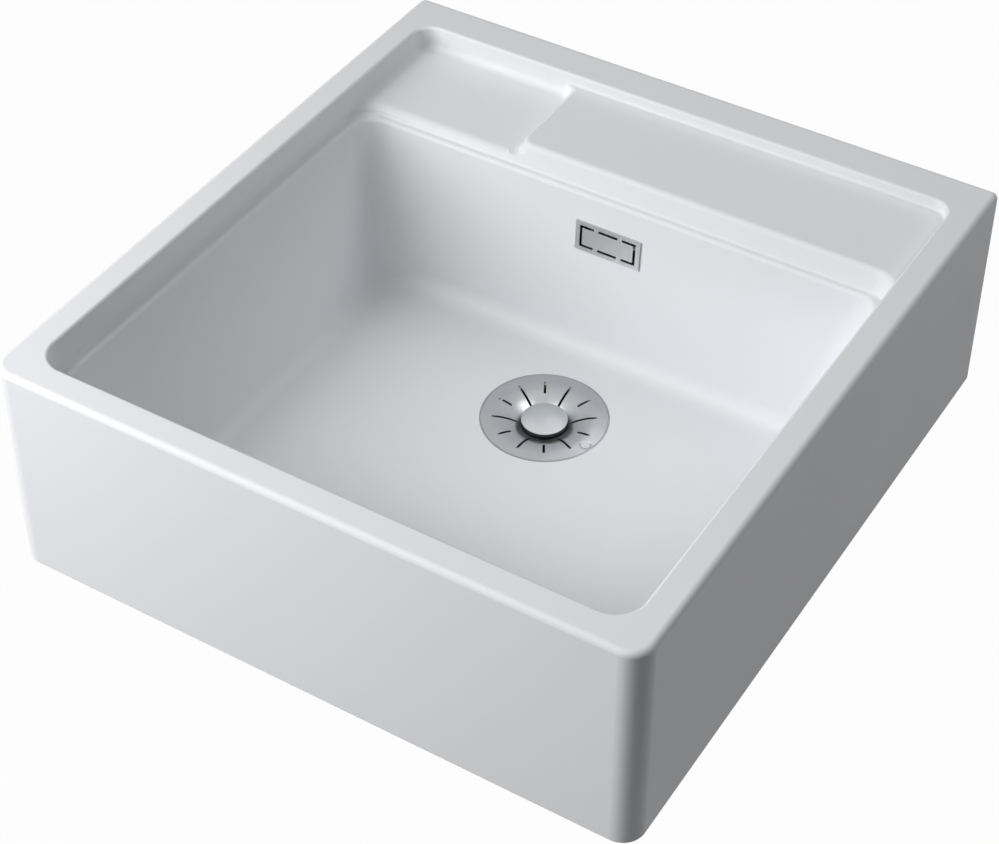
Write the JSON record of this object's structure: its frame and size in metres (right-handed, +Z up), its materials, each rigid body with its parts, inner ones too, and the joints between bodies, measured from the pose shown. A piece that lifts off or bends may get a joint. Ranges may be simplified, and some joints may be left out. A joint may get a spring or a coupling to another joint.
{
  "type": "apron front kitchen sink",
  "caption": "Apron front ceramic kitchen sink with a tap deck, a side pocket, an accessory ledge, a lift-out strainer waste and a covered overflow.",
  "frame": {"origin": "middle of the sink's underside, on the plane of its resting skirt", "axes": "+X to the right across the width, +Y from the apron to the wall, +Z up out of the bowl"},
  "size_m": [0.598, 0.639, 0.312],
  "materials": {
    "glaze": "satin white glaze",
    "brushed_steel": "satin brushed",
    "plain_steel": "plain turned",
    "brass": "machined",
    "white_plastic": "moulded, satin",
    "grey_plastic": "moulded, matt",
    "black_rubber": "matt",
    "grey_foam": "closed-cell foam"
  },
  "bodies": {
    "sink": {"sink_body": "glaze", "waste_flange": "brushed_steel", "flange_seal": "grey_foam", "lower_gasket": "black_rubber", "waste_body": "white_plastic", "threaded_insert": "brass", "clamp_screw": "plain_steel", "overflow_cover": "brushed_steel", "overflow_carrier": "grey_plastic", "overflow_face_seal": "grey_foam", "overflow_screws": "plain_steel", "overflow_wall_seal": "black_rubber", "overflow_housing": "white_plastic", "overflow_pipe": "white_plastic", "upper_cone_washer": "black_rubber", "upper_slip_nut": "white_plastic", "lower_cone_washer": "black_rubber", "lower_slip_nut": "white_plastic"},
    "strainer": {"strainer_disc": "brushed_steel", "stem_guide": "grey_plastic"},
    "plug": {"lift_knob": "brushed_steel", "plug_stem": "plain_steel", "retaining_ring": "plain_steel", "plug_disc": "plain_steel", "plug_seal": "black_rubber", "plug_nut": "plain_steel"}
  },
  "joints": [
    {"name": "strainer_lift", "type": "slide", "parent": "sink", "child": "strainer", "axis": [0, 0, 1], "range_m": [0, 0.045]},
    {"name": "plug_press", "type": "slide", "parent": "strainer", "child": "plug", "axis": [0, 0, 1], "range_m": [-0.0025, 0]}
  ]
}
